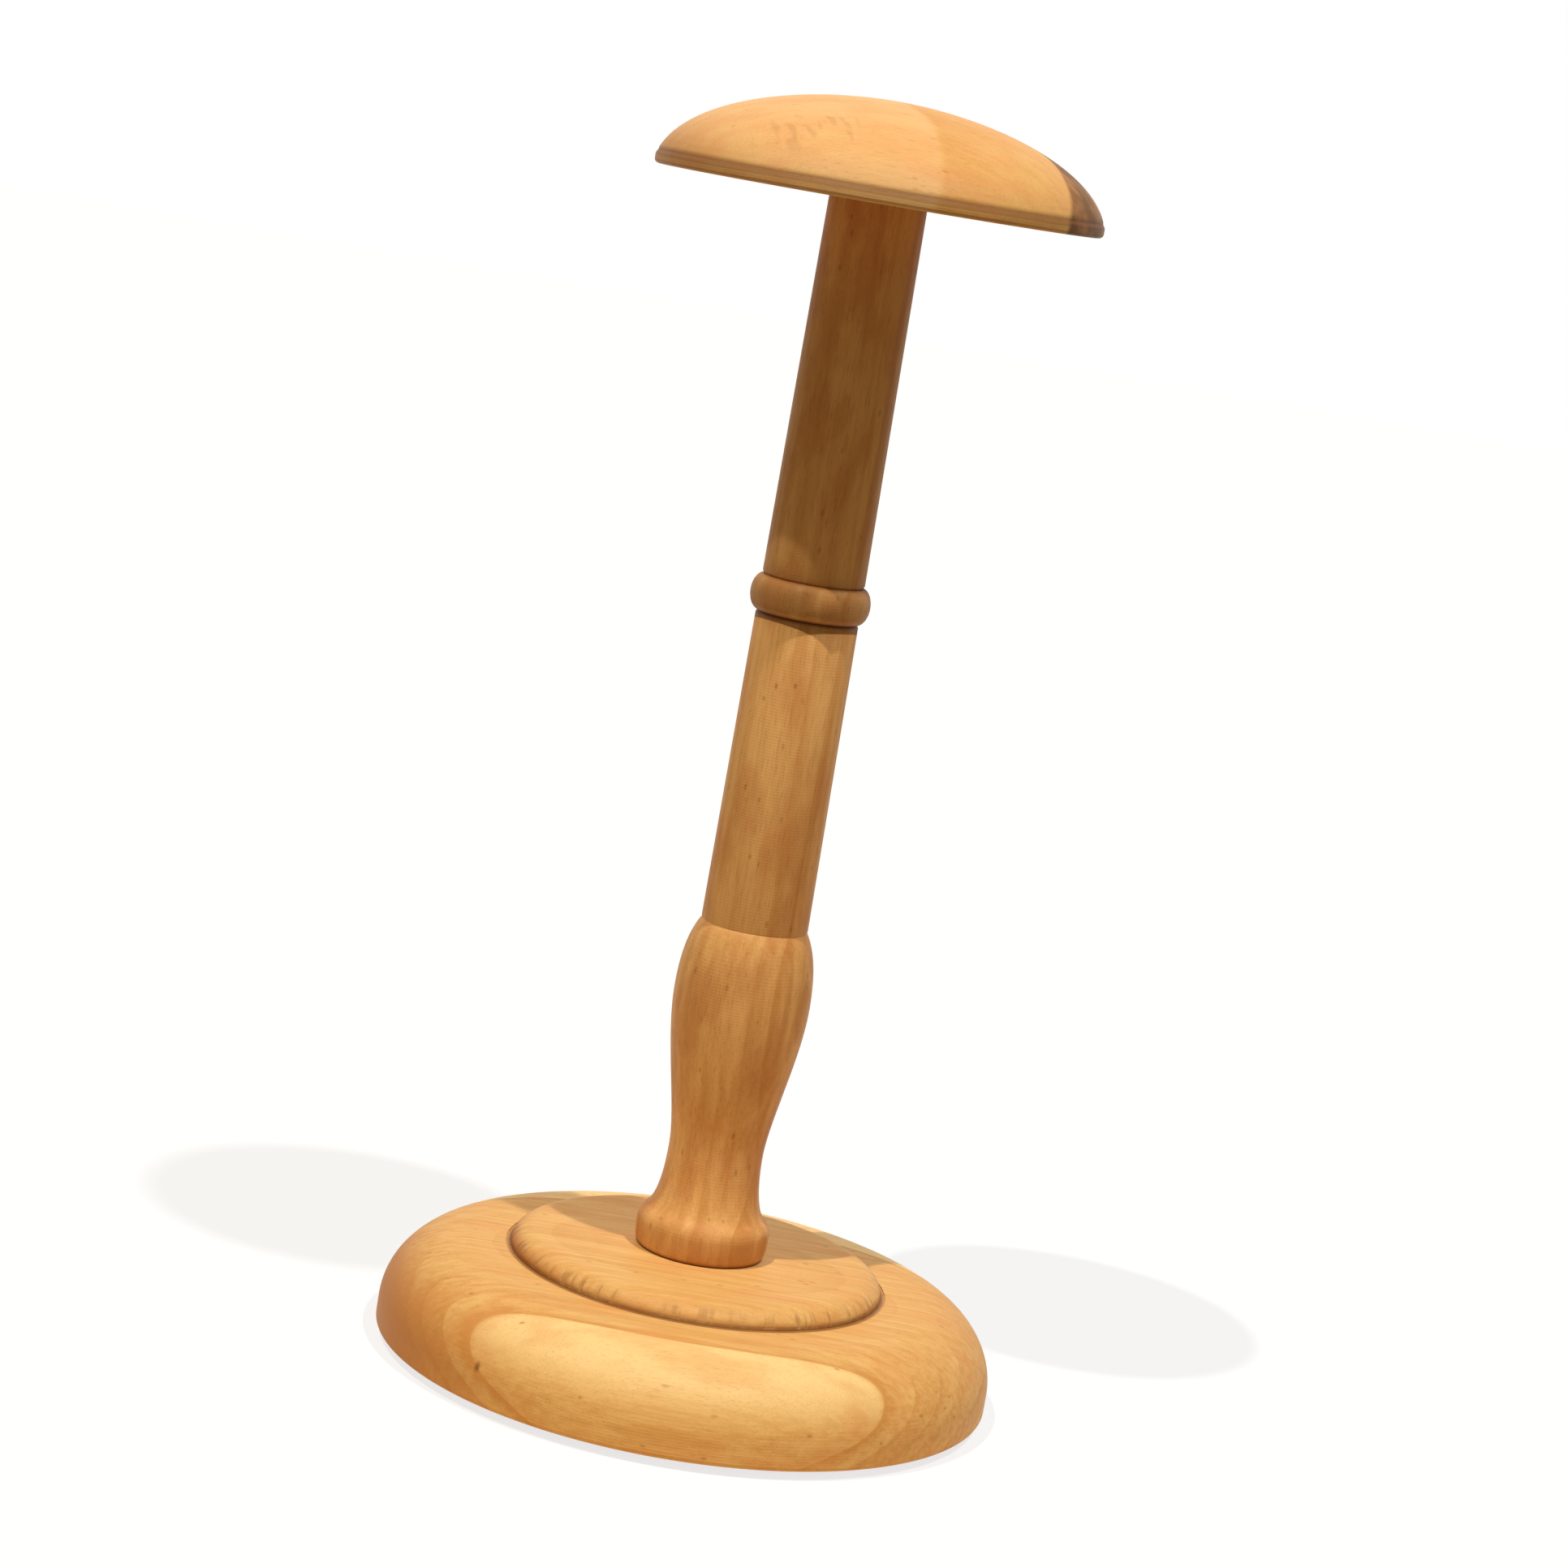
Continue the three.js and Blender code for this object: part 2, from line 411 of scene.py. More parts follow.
def screw_tree():
    """Adds the thread to a turned screw blank and sinks the cross recess into its head."""
    core_radius = screw_core_diameter / 2
    inputs = {
        "Blank": "Geometry", "Finish": "Material", "Weld Distance": cut_weld_distance * MM,
        "Thread Start": (screw_seat + screw_plain_length + screw_pitch) * MM,
        "Thread Length": (screw_length - screw_point - screw_plain_length - 2 * screw_pitch) * MM,
        "Pitch": screw_pitch * MM,
        "Core Radius": core_radius * MM,
        "Thread Depth": (screw_diameter / 2 - core_radius) * MM,
        "Recess Size": metres((recess_width, recess_slot, 2 * recess_depth)),
        "Recess Height": (screw_seat - screw_head_height) * MM,
    }
    tree, given, result = new_tree("Thread and recess", "Geometry", inputs, Screw="Geometry")
    length = given["Thread Length"]
    turns = over(length, given["Pitch"])
    spiral = add_node(
        tree, "GeometryNodeCurveSpiral", Resolution=thread_steps, Rotations=turns, Height=length,
        Start_Radius=given["Core Radius"], End_Radius=given["Core Radius"],
    )
    ridge = add_node(
        tree, "GeometryNodeCurvePrimitiveCircle", {"mode": "RADIUS"},
        Resolution=thread_corners, Radius=given["Thread Depth"],
    )
    thread = add_node(tree, "GeometryNodeCurveToMesh", Curve=spiral, Profile_Curve=ridge, Fill_Caps=True)
    start = combine(0.0, 0.0, given["Thread Start"])
    lifted = add_node(tree, "GeometryNodeTransform", Geometry=thread, Translation=start)
    slot = add_node(tree, "GeometryNodeMeshCube", Size=given["Recess Size"])
    crossing = add_node(tree, "GeometryNodeTransform", Geometry=slot, Rotation=(0.0, 0.0, math.pi / 2))
    depth = combine(0.0, 0.0, given["Recess Height"])
    cross = join(tree, slot, crossing)
    cutter = add_node(tree, "GeometryNodeTransform", Geometry=cross, Translation=depth)
    cut = add_node(
        tree, "GeometryNodeMeshBoolean", {"operation": "DIFFERENCE", "solver": "EXACT"},
        Mesh_1=given["Blank"], Mesh_2=cutter, Self_Intersection=True,
    )
    return end_tree(tree, given, result["Screw"], join(tree, weld(tree, given, cut), lifted))


def felt_tree():
    """Sets copies of one felt pad evenly round a circle and roughens their edges."""
    circle = base_diameter / 2 - base_lower_edge - felt_inset - felt_diameter / 2
    inputs = {
        "Pad": "Geometry", "Finish": "Material", "Count": felt_count,
        "Circle Radius": circle * MM, "Fluff": felt_fluff * MM, "Thickness": felt_thickness * MM,
    }
    tree, given, result = new_tree("Set out the felt pads", "Geometry", inputs, Pads="Geometry")
    ring = add_node(tree, "GeometryNodeMeshCircle", Vertices=given["Count"], Radius=given["Circle Radius"])
    half_step = combine(0.0, 0.0, over(math.pi, given["Count"]))
    turned = add_node(tree, "GeometryNodeTransform", Geometry=ring, Rotation=half_step)
    copies = add_node(tree, "GeometryNodeInstanceOnPoints", Points=turned, Instance=given["Pad"])
    spread = add_node(tree, "GeometryNodeRealizeInstances", Geometry=copies)
    place = tree.nodes.new("GeometryNodeInputPosition").outputs[0]
    _, _, height = separate(place)
    from_middle = maths("ABSOLUTE", minus(over(height, given["Thickness"]), 0.5))
    side = ramp(from_middle, *fluff_span, 1.0, 0.0)
    amount = times(times(noise(place, fluff_scale, 3.0), side), given["Fluff"])
    normal = tree.nodes.new("GeometryNodeInputNormal")
    into = times(amount, -1.0)
    inward = add_node(tree, "ShaderNodeVectorMath", {"operation": "SCALE"}, Vector=normal, Scale=into)
    rough = add_node(tree, "GeometryNodeSetPosition", Geometry=spread, Offset=inward)
    return end_tree(tree, given, result["Pads"], rough)


def run_tree(mesh, tree, **values):
    """Runs a geometry tree on a mesh and gives back the result as a plain mesh."""
    helper = add_object("helper", mesh)
    modifier = helper.modifiers.new("work", "NODES")
    modifier.node_group = tree
    for item in tree.interface.items_tree:
        if item.in_out == "INPUT" and item.name in values:
            modifier[item.identifier] = values[item.name]
    graph = bpy.context.evaluated_depsgraph_get()
    made = bpy.data.meshes.new_from_object(helper.evaluated_get(graph), depsgraph=graph)
    helper.modifiers.remove(modifier)
    bpy.data.objects.remove(helper)
    return made


def turn(outline, bottom, sides, finish):
    """Turns an outline, given from the bottom up in millimetres, into a closed mesh at a height."""
    mesh = bpy.data.meshes.new("outline")
    kept = [p for i, p in enumerate(outline) if i == 0 or math.dist(p, outline[i - 1]) > weld_distance]
    mesh.from_pydata([(r * MM, 0.0, (z + bottom) * MM) for r, z in kept], [], [])
    return run_tree(mesh, turning, Sides=sides, Finish=finish)


def add_piece(name, mesh, slot, *nodes):
    """Puts a finished mesh in the scene in place of its CAD nodes."""
    mesh.name = name
    piece = add_object(name, mesh)
    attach(piece, "root")
    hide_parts(*nodes)


# Outlines: lists of (radius, height) points


def arc(centre, radius_out, radius_up, from_quarter, to_quarter, steps=edge_steps):
    """Part of an ellipse, with its angles in quarter turns from straight outwards."""
    points = []
    for i in range(steps + 1):
        angle = (from_quarter + (to_quarter - from_quarter) * i / steps) * math.pi / 2
        points.append((centre[0] + radius_out * math.cos(angle), centre[1] + radius_up * math.sin(angle)))
    return points


def sweep(start, start_handle, end_handle, end, steps=curve_steps):
    """A free curve between two points, led by two handles."""
    points = []
    for i in range(steps + 1):
        t = i / steps
        weights = ((1 - t) ** 3, 3 * (1 - t) ** 2 * t, 3 * (1 - t) * t**2, t**3)
        corners = (start, start_handle, end_handle, end)
        points.append(tuple(sum(w * c[axis] for w, c in zip(weights, corners)) for axis in (0, 1)))
    return points


def base_outline():
    """The base from its counterbore out, up over the rounded edge and the pad, and down the mortise."""
    radius = base_diameter / 2
    pad_radius = pad_diameter / 2
    top = base_thickness + pad_height
    bore_radius = washer_diameter / 2 + counterbore_clearance
    bore_top = counterbore_top - base_bottom
    mortise_radius = lower_tenon_diameter / 2 + fit_gap
    mortise_floor = top - lower_tenon_length
    edge_rise = base_thickness - base_wall_height
    crease_end = pad_radius + pad_crease_width
    pad_edge_centre = (pad_radius - pad_edge_reach, top - pad_edge_rise)
    return [
        (bore_radius, 0),
        *arc((radius - base_lower_edge, base_lower_edge), base_lower_edge, base_lower_edge, -1, 0),
        *arc((radius - base_edge_reach, base_wall_height), base_edge_reach, edge_rise, 0, 1, curve_steps),
        (crease_end, base_thickness),
        *arc((crease_end, base_thickness), pad_crease_width, pad_crease_depth, 3, 2),
        *arc(pad_edge_centre, pad_edge_reach, pad_edge_rise, 0, 1, pad_edge_steps),
        (mortise_radius, top),
        (mortise_radius, mortise_floor),
        (screw_hole_radius, mortise_floor),
        (screw_hole_radius, bore_top),
        (bore_radius, bore_top),
        (bore_radius, 0),
    ]


def column_radius(height):
    """Radius of the tapering column at a height above the foot's underside."""
    share = (height - shoulder_height) / (stem_height - shoulder_height)
    return (column_bottom_diameter + (column_top_diameter - column_bottom_diameter) * share) / 2


def foot_lip():
    """Rounded lip of the foot, from the pad up past its widest part and over towards the cove."""
    radius = foot_diameter / 2
    return [
        *arc((radius - foot_undercut, foot_lip_height), foot_undercut, foot_lip_height, -1, 0),
        *arc((radius - foot_nose, foot_lip_height), foot_nose, foot_nose, 0, foot_nose_turn),
    ]


def baluster():
    """Lip, cove, waist, swell and shoulder: one fair curve, upright at the waist and at the swell."""
    lip = foot_lip()
    cove_start = lip[-1]
    waist_radius = waist_diameter / 2
    swell_radius = swell_diameter / 2
    shoulder_radius = shoulder_diameter / 2
    flare = cove_start[0] - waist_radius
    cove_rise = waist_height - cove_start[1]
    shoulder_bulge = (swell_radius - shoulder_radius) * shoulder_end_out
    swell_height = waist_height + waist_to_swell
    waist = (waist_radius, waist_height)
    swell = (swell_radius, swell_height)
    return [
        *lip,
        *sweep(
            cove_start,
            (cove_start[0] - flare * cove_start_in, cove_start[1] + cove_rise * cove_start_up),
            (waist_radius, waist_height - cove_rise * cove_end_down),
            waist,
        ),
        *sweep(
            waist,
            (waist_radius, waist_height + waist_to_swell * swell_start_up),
            (swell_radius, swell_height - waist_to_swell * swell_end_down),
            swell,
        ),
        *sweep(
            swell,
            (swell_radius, swell_height + swell_to_shoulder * shoulder_start_up),
            (shoulder_radius + shoulder_bulge, shoulder_height - swell_to_shoulder * shoulder_end_down),
            (shoulder_radius, shoulder_height),
        ),
    ]


def ring_and_quirks():
    """Half-round ring that springs from the fine grooves above and below it."""
    root = column_radius(ring_middle) - quirk_depth
    groove_low = ring_bottom - quirk_width
    groove_high = ring_top + quirk_width
    return [
        (column_radius(groove_low), groove_low),
        *arc((root, ring_middle), ring_diameter / 2 - root, ring_thickness / 2, -1, 1, curve_steps),
        (column_radius(groove_high), groove_high),
    ]


def stem_outline():
    lower_radius = lower_tenon_diameter / 2
    upper_radius = upper_tenon_diameter / 2
    lower_end = -lower_tenon_length
    upper_end = stem_height + upper_tenon_length
    hole_end = screw_seat + screw_length + screw_clearance - foot_bottom
    return [
        (0, hole_end + screw_hole_radius),
        (screw_hole_radius, hole_end),
        (screw_hole_radius, lower_end),
        (lower_radius - tenon_chamfer, lower_end),
        (lower_radius, lower_end + tenon_chamfer),
        (lower_radius, 0),
        *baluster(),
        (column_radius(shoulder_height) - crease_depth, shoulder_height + crease_width / 2),
        (column_radius(shoulder_height + crease_width), shoulder_height + crease_width),
        *ring_and_quirks(),
        (column_top_diameter / 2, stem_height),
        (upper_radius, stem_height),
        (upper_radius, upper_end - tenon_chamfer),
        (upper_radius - tenon_chamfer, upper_end),
        (0, upper_end),
    ]


def dome_outline():
    """The dome from its mortise out, up past the quirk above the rim band, and over the crown."""
    radius = dome_diameter / 2
    skirt = radius - rim_quirk_depth
    crown = rim_band_height + dome_rise
    mortise_radius = upper_tenon_diameter / 2 + fit_gap
    band_top = rim_band_height - rim_quirk_width
    return [
        (0, upper_tenon_length),
        (mortise_radius, upper_tenon_length),
        (mortise_radius, 0),
        *arc((radius - rim_edge, rim_edge), rim_edge, rim_edge, -1, 0),
        *sweep(
            (radius, band_top),
            (radius, band_top + rim_quirk_width / 2),
            (skirt, band_top + rim_quirk_width / 2),
            (skirt, rim_band_height),
            edge_steps,
        ),
        *sweep(
            (skirt, rim_band_height),
            (skirt * dome_start_out, rim_band_height + dome_rise * dome_start_up),
            (skirt * dome_end_out, crown),
            (0, crown),
            2 * curve_steps,
        ),
    ]


def screw_outline():
    """The screw's blank: domed head down, plain shank, core of the threaded length and point."""
    head_radius = screw_head_diameter / 2
    shank_radius = screw_diameter / 2
    core_radius = screw_core_diameter / 2
    return [
        *arc((0, 0), head_radius, screw_head_height, -1, 0, curve_steps),
        (shank_radius, 0),
        (shank_radius, screw_plain_length),
        (core_radius, screw_plain_length + shank_radius - core_radius),
        (core_radius, screw_length - screw_point),
        (0, screw_length),
    ]


def washer_outline():
    inner = screw_hole_radius
    outer = washer_diameter / 2
    edge = washer_edge
    near, far = inner + edge, outer - edge
    low, high = edge, washer_thickness - edge
    points = [(inner, edge)]
    for quarter, corner in enumerate(((near, low), (far, low), (far, high), (near, high)), -2):
        points.extend(arc(corner, edge, edge, quarter, quarter + 1, washer_edge_steps))
    return [*points, (inner, edge)]


def felt_outline():
    radius = felt_diameter / 2
    edge = felt_edge
    return [
        (0, 0),
        *arc((radius - edge, edge), edge, edge, -1, 0, felt_edge_steps),
        (radius, felt_thickness / 2),
        *arc((radius - edge, felt_thickness - edge), edge, edge, 0, 1, felt_edge_steps),
        (0, felt_thickness),
    ]


# Shader node groups: wood. A Position is in millimetres along the grain, an Object Place in metres

sway_stretch = (0.012, 0.05, 0.05)
latewood_power = 2.4
latewood_drop = 0.94
latewood_least = 0.15
tone_step = 1.7
pore_width_share = 0.12
pore_length_share = 0.1
pore_span = (0.52, 0.72)
fleck_span = (0.16, 0.4)
mark_slant = 0.83
mark_waver = 5.0
mark_waver_scale = 60.0
pin_span = (0.2, 1.0)
ring_inputs = {
    "Position": "Vector", "Seed": 0.0,
    "Pith Side": 0.0, "Pith Height": -50.0, "Lean": 0.0, "Bow": 0.0, "Wander": 1.0,
    "Ring Width": 3.0, "Outer Widening": 1.0,
    "Marked Ring": 60.0, "Mark Softness": 0.12, "Heart Start": 1000.0,
}
streak_inputs = {"Position": "Vector", "Streak Width": 2.0, "Streak Length": 60.0, "Seed": 0.0}


def growth_rings_group():
    """Growth rings of a trunk that lies along X: dark latewood up to each ring's outer edge, and its tone."""
    tree, given, result = new_tree(
        "Growth rings", "Shader", ring_inputs,
        Latewood="Float", Marked_Latewood="Float", Ring_Tone="Float", Beyond_Mark="Float", Heart="Float",
    )
    seed = given["Seed"]
    softness = given["Mark Softness"]
    along, side, height = separate(given["Position"])
    away_side = minus(side, given["Pith Side"])
    leaning = maths("MULTIPLY_ADD", along, given["Lean"], height)
    away_up = minus(leaning, given["Pith Height"])
    square = plus(maths("POWER", away_side, 2.0), maths("POWER", away_up, 2.0))
    from_pith = maths("SQRT", square)
    straight = maths("MULTIPLY_ADD", maths("POWER", along, 2.0), given["Bow"], from_pith)
    stretched = vector_maths("MULTIPLY", given["Position"], sway_stretch)
    seeded = vector_maths("ADD", stretched, combine(seed, seed, seed))
    sway = times(minus(noise(seeded, 1.0, 2.0), 0.5), given["Wander"])
    from_mark = minus(plus(straight, sway), given["Marked Ring"])
    even = over(from_mark, given["Ring Width"])
    outside = over(maths("MAXIMUM", even, 0.0), given["Outer Widening"])
    count = plus(maths("MINIMUM", even, 0.0), outside)
    number = maths("FLOOR", count)
    share = minus(count, number)
    rise = maths("POWER", share, latewood_power)
    build_up = times(rise, ramp(share, latewood_drop, 1.0, 1.0, 0.0))
    luck = maths("POWER", chance(plus(number, seed)), 2.0)
    strength = maths("MULTIPLY_ADD", luck, 1 - latewood_least, latewood_least)
    inwards = minus(times(even, -1.0), given["Heart Start"])
    feed_named(
        result,
        Marked_Latewood=times(build_up, maths("COMPARE", number, -1.0, 0.5)),
        Latewood=times(build_up, strength),
        Beyond_Mark=ramp(over(even, softness), -1.0, 1.0),
        Heart=ramp(over(inwards, softness), -1.0, 1.0),
        Ring_Tone=chance(maths("MULTIPLY_ADD", number, tone_step, seed)),
    )
    return tree


def streaks_group():
    """Long soft streaks along X, 0 to 1, with finer pores inside them."""
    tree, given, result = new_tree("Grain streaks", "Shader", streak_inputs, Streak="Float", Pores="Float")
    offset = combine(given["Seed"], given["Seed"], 0.0)

    def stretched_noise(width, length, detail):
        across = over(1.0, width)
        scale = combine(over(1.0, length), across, across)
        moved = vector_maths("ADD", vector_maths("MULTIPLY", given["Position"], scale), offset)
        return noise(moved, 1.0, detail, Roughness=0.6)

    width, length = given["Streak Width"], given["Streak Length"]
    pore_width = times(width, pore_width_share)
    fine = stretched_noise(pore_width, times(length, pore_length_share), 2.0)
    feed_named(result, Streak=stretched_noise(width, length, 3.0), Pores=ramp(fine, *pore_span))
    return tree


def flecks_group():
    """Scattered lens-shaped flecks with their length along X, as a mask."""
    inputs = {"Position": "Vector", "Fleck Width": 0.4, "Fleck Length": 2.0, "Share": 0.3, "Seed": 0.0}
    tree, given, result = new_tree("Ray flecks", "Shader", inputs, Fleck="Float")
    across = over(0.5, given["Fleck Width"])
    scale = combine(over(0.5, given["Fleck Length"]), across, across)
    scaled = vector_maths("MULTIPLY", given["Position"], scale)
    moved = vector_maths("ADD", scaled, combine(given["Seed"], 0.0, given["Seed"]))
    cells = add_node(tree, "ShaderNodeTexVoronoi", Vector=moved, Scale=1.0).outputs
    pick = add_node(tree, "ShaderNodeTexWhiteNoise", Vector=cells["Position"]).outputs["Value"]
    chosen = maths("LESS_THAN", pick, given["Share"])
    body = ramp(cells["Distance"], *fleck_span, 1.0, 0.0)
    feed(result["Fleck"], times(body, chosen))
    return tree


def lathe_marks_group():
    """Fine tool marks round the upright axis, as a height in millimetres."""
    inputs = {"Object Place": "Vector", "Mark Spacing": 0.7, "Depth": 0.01}
    tree, given, result = new_tree("Lathe marks", "Shader", inputs, Height="Float")
    x, y, z = separate(given["Object Place"])
    radius = vector_maths("LENGTH", combine(x, y, 0.0))
    travel = maths("MULTIPLY_ADD", radius, mark_slant, z)
    turns = over(travel, times(given["Mark Spacing"], MM))
    uneven = noise(given["Object Place"], mark_waver_scale, 2.0)
    phase = maths("MULTIPLY_ADD", turns, 2 * math.pi, times(uneven, mark_waver))
    wave = times(maths("SINE", phase), uneven)
    feed(result["Height"], times(wave, given["Depth"]))
    return tree


def groove_group():
    """A soft dark line where a coordinate meets a level: painted shade in a groove or crease."""
    inputs = {"Coordinate": 0.0, "Level": 0.0, "Reach": 1.0}
    tree, given, result = new_tree("Groove line", "Shader", inputs, Line="Float")
    off = maths("ABSOLUTE", minus(given["Coordinate"], given["Level"]))
    feed(result["Line"], ramp(off, 0.0, given["Reach"], 1.0, 0.0))
    return tree


def pin_fleck_group():
    """One small dark fleck at a given place, as a mask."""
    inputs = {"Object Place": "Vector", "Centre": "Vector", "Reach": "Vector"}
    tree, given, result = new_tree("Pin fleck", "Shader", inputs, Fleck="Float")
    off = vector_maths("SUBTRACT", given["Object Place"], given["Centre"])
    distance = vector_maths("LENGTH", vector_maths("DIVIDE", off, given["Reach"]))
    feed(result["Fleck"], ramp(distance, *pin_span, 1.0, 0.0))
    return tree


# Beech, made of the groups above

small_fleck = {"Fleck_Width": 0.16, "Fleck_Length": 1.1, "Share": 0.5}
small_fleck_strength = 0.4
large_fleck = {"Fleck_Width": 0.8, "Fleck_Length": 1.7}
large_fleck_seed = 4.0
end_span = (0.15, 0.9)
ring_tone_strength = 0.3
streak_span = (0.3, 0.72, -0.5, 0.5)
middle_depth = 0.4
blush_stretch = (0.05, 0.13, 0.13)
blush_span = (0.42, 0.68)
pore_strength = 0.22
least_roughness = 0.44
streak_roughness = 0.12
pore_roughness = 0.08
pore_depth = 0.012
fleck_depth = 0.01
beech_inputs = {
    **ring_inputs,
    **streak_inputs,
    "Facing": "Vector",
    "Ring Strength": 0.6, "Mark Strength": 0.5, "Heart Strength": 0.0,
    "Beyond Low": -1000.0, "Beyond High": -900.0, "Beyond Strength": 0.0,
    "Streak Strength": 0.5, "Blotch Strength": 0.5, "Blotch Shift": (0.0, 0.0, 0.0),
    "Fleck Share": 0.035, "Fleck Strength": 0.4,
    "End Ring Boost": 0.0, "End Grain Strength": 0.4, "Right End Share": 1.0,
    "Pale": "Color", "Deep": "Color", "Blush": "Color", "Beyond Colour": "Color",
    "Heart Colour": "Color", "Fleck Colour": "Color", "End Grain Colour": "Color",
}


def beech_group():
    """Beech with its figure along X: colour, roughness and height in millimetres."""
    tree, given, result = new_tree(
        "Turned beech", "Shader", beech_inputs, Colour="Color", Roughness="Float", Height="Float"
    )
    rings = place_group(tree, growth_rings, given)
    grain = place_group(tree, streaks, given)
    streak, pores = grain["Streak"], grain["Pores"]
    small = place_group(tree, flecks, given, **small_fleck)["Fleck"]
    seed = plus(given["Seed"], large_fleck_seed)
    large = place_group(tree, flecks, given, **large_fleck, Share=given["Fleck Share"], Seed=seed)["Fleck"]
    flecked = maths("MAXIMUM", times(small, small_fleck_strength), large)

    # Both ends of the grain get the end grain colour, the left end in full and the right end only by its
    # share, so the left side is darker than the right
    end_on, _, _ = separate(given["Facing"])
    left_end = ramp(times(end_on, -1.0), *end_span)
    end_mask = plus(left_end, times(ramp(end_on, *end_span), given["Right End Share"]))
    fade = ramp(separate(given["Position"])[2], given["Beyond Low"], given["Beyond High"])

    ring_tone = times(minus(rings["Ring Tone"], 0.5), ring_tone_strength)
    end_boost = maths("MULTIPLY_ADD", end_mask, given["End Ring Boost"], 1.0)
    ring_strength = times(given["Ring Strength"], end_boost)
    ring_share = times(plus(rings["Latewood"], ring_tone), ring_strength)
    mark_depth = times(given["Mark Strength"], plus(end_mask, 0.5))
    mark_share = times(rings["Marked Latewood"], times(mark_depth, fade))
    streak_share = times(ramp(streak, *streak_span), given["Streak Strength"])
    depth = plus(plus(plus(ring_share, mark_share), streak_share), middle_depth)
    patches = vector_maths("MULTIPLY", given["Position"], blush_stretch)
    patches = noise(vector_maths("ADD", patches, given["Blotch Shift"]), 1.0, 3.0)

    wood = mix_colour(depth, given["Pale"], given["Deep"])
    for share, tint in (
        (times(rings["Beyond Mark"], times(fade, given["Beyond Strength"])), "Beyond Colour"),
        (times(rings["Heart"], given["Heart Strength"]), "Heart Colour"),
        (times(ramp(patches, *blush_span), given["Blotch Strength"]), "Blush"),
        (times(pores, pore_strength), "Fleck Colour"),
        (times(flecked, given["Fleck Strength"]), "Fleck Colour"),
        (times(maths("POWER", end_mask, 3.0), given["End Grain Strength"]), "End Grain Colour"),
    ):
        wood = mix_colour(share, wood, given[tint])
    matt = maths("MULTIPLY_ADD", streak, streak_roughness, least_roughness)
    feed_named(
        result,
        Colour=wood,
        Roughness=maths("MULTIPLY_ADD", pores, pore_roughness, matt),
        Height=plus(times(pores, -pore_depth), times(flecked, -fleck_depth)),
    )
    return tree


# Materials

varnish_gloss = 0.14
tool_marks = {"Mark_Spacing": 0.8, "Depth": 0.012}
# Colour of the painted shade in grooves and creases, and also of the pin flecks and torn marks
painted_shade_and_mark_colour = colour(112, 62, 22)
circle_line_weights = (1.0, 0.5, 0.0)
grain_across = (0.0, 0.0, 0.0)
grain_upright = (0.0, math.pi / 2, 0.0)


def new_material(name, shown):
    material = bpy.data.materials.new(name)
    material.diffuse_color = shown
    tree = empty_tree(material)
    shader = tree.nodes.new("ShaderNodeBsdfPrincipled")
    add_node(tree, "ShaderNodeOutputMaterial", Surface=shader)
    return material, tree, shader


def object_place(tree):
    return tree.nodes.new("ShaderNodeTexCoord").outputs["Object"]


def groove_line(tree, radius, height, level, reach):
    """The painted shade line at a level: a height, or a circle's radius and height. A circle's line reaches
    twice as far up and down as it does in and out."""
    if isinstance(level, tuple):
        off = vector_maths("SUBTRACT", combine(radius, height, 0.0), metres((*level, 0.0)))
        height = vector_maths("LENGTH", vector_maths("MULTIPLY", off, circle_line_weights))
        level = 0.0
    return place_group(tree, groove, Coordinate=height, Level=level * MM, Reach=reach * MM)["Line"]


def wood_material(name, shown, grain_turn, figure, shade_lines, pins, torn=None):
    """Varnished beech. `grain_turn` turns the stand's axes into the wood's, and `figure` sets its grain and
    colours. The painted shade in its grooves and creases comes as level, reach and strength, `pins` are its
    pin flecks, and `torn` holds the mask, stain and depth of the places where the tool tore it."""
    material, tree, shader = new_material(name, shown)
    place = object_place(tree)
    facing = tree.nodes.new("ShaderNodeTexCoord").outputs["Normal"]
    to_millimetres = (1 / MM, 1 / MM, 1 / MM)
    turned = add_node(tree, "ShaderNodeMapping", Vector=place, Rotation=grain_turn, Scale=to_millimetres)
    as_normal = {"vector_type": "NORMAL"}
    turned_facing = add_node(tree, "ShaderNodeMapping", as_normal, Vector=facing, Rotation=grain_turn)
    wood = place_group(tree, beech, Position=turned, Facing=turned_facing, **figure)
    x, y, z = separate(place)
    radius = vector_maths("LENGTH", combine(x, y, 0.0))
    shades = [times(groove_line(tree, radius, z, level, reach), share) for level, reach, share in shade_lines]
    for centre, reach, strength in pins:
        pin = place_group(tree, pin_fleck, Object_Place=place, Centre=metres(centre), Reach=metres(reach))
        shades.append(times(pin["Fleck"], strength))
    marks = place_group(tree, lathe_marks, Object_Place=place, **tool_marks)["Height"]
    height = plus(wood["Height"], marks)
    if torn is not None:
        torn_mask, torn_stain, torn_depth = torn
        mask = torn_mask(place)
        shades.append(times(mask, torn_stain))
        height = minus(height, times(mask, torn_depth))
    # Painted shade of the grooves and creases, together with the real pin flecks and torn marks
    shade = shades[0]
    for other in shades[1:]:
        shade = maths("MAXIMUM", shade, other)
    feed_named(
        shader.inputs,
        Base_Color=mix_colour(shade, wood["Colour"], painted_shade_and_mark_colour),
        Roughness=wood["Roughness"],
        Normal=add_node(tree, "ShaderNodeBump", Strength=1.0, Distance=MM, Height=height),
        Specular_IOR_Level=varnish_gloss,
    )
    return material


# Nicks in the pad's edge: where they start above its foot and end below its top, and their pattern

nick_start = (0.3, 0.9)
nick_end = (2.4, 0.6)
nick_flattening = 150.0
nick_scale = 0.5
nick_span = (0.46, 0.7)
nick_patch_scale = 38.0
nick_patch_span = (0.42, 0.56)


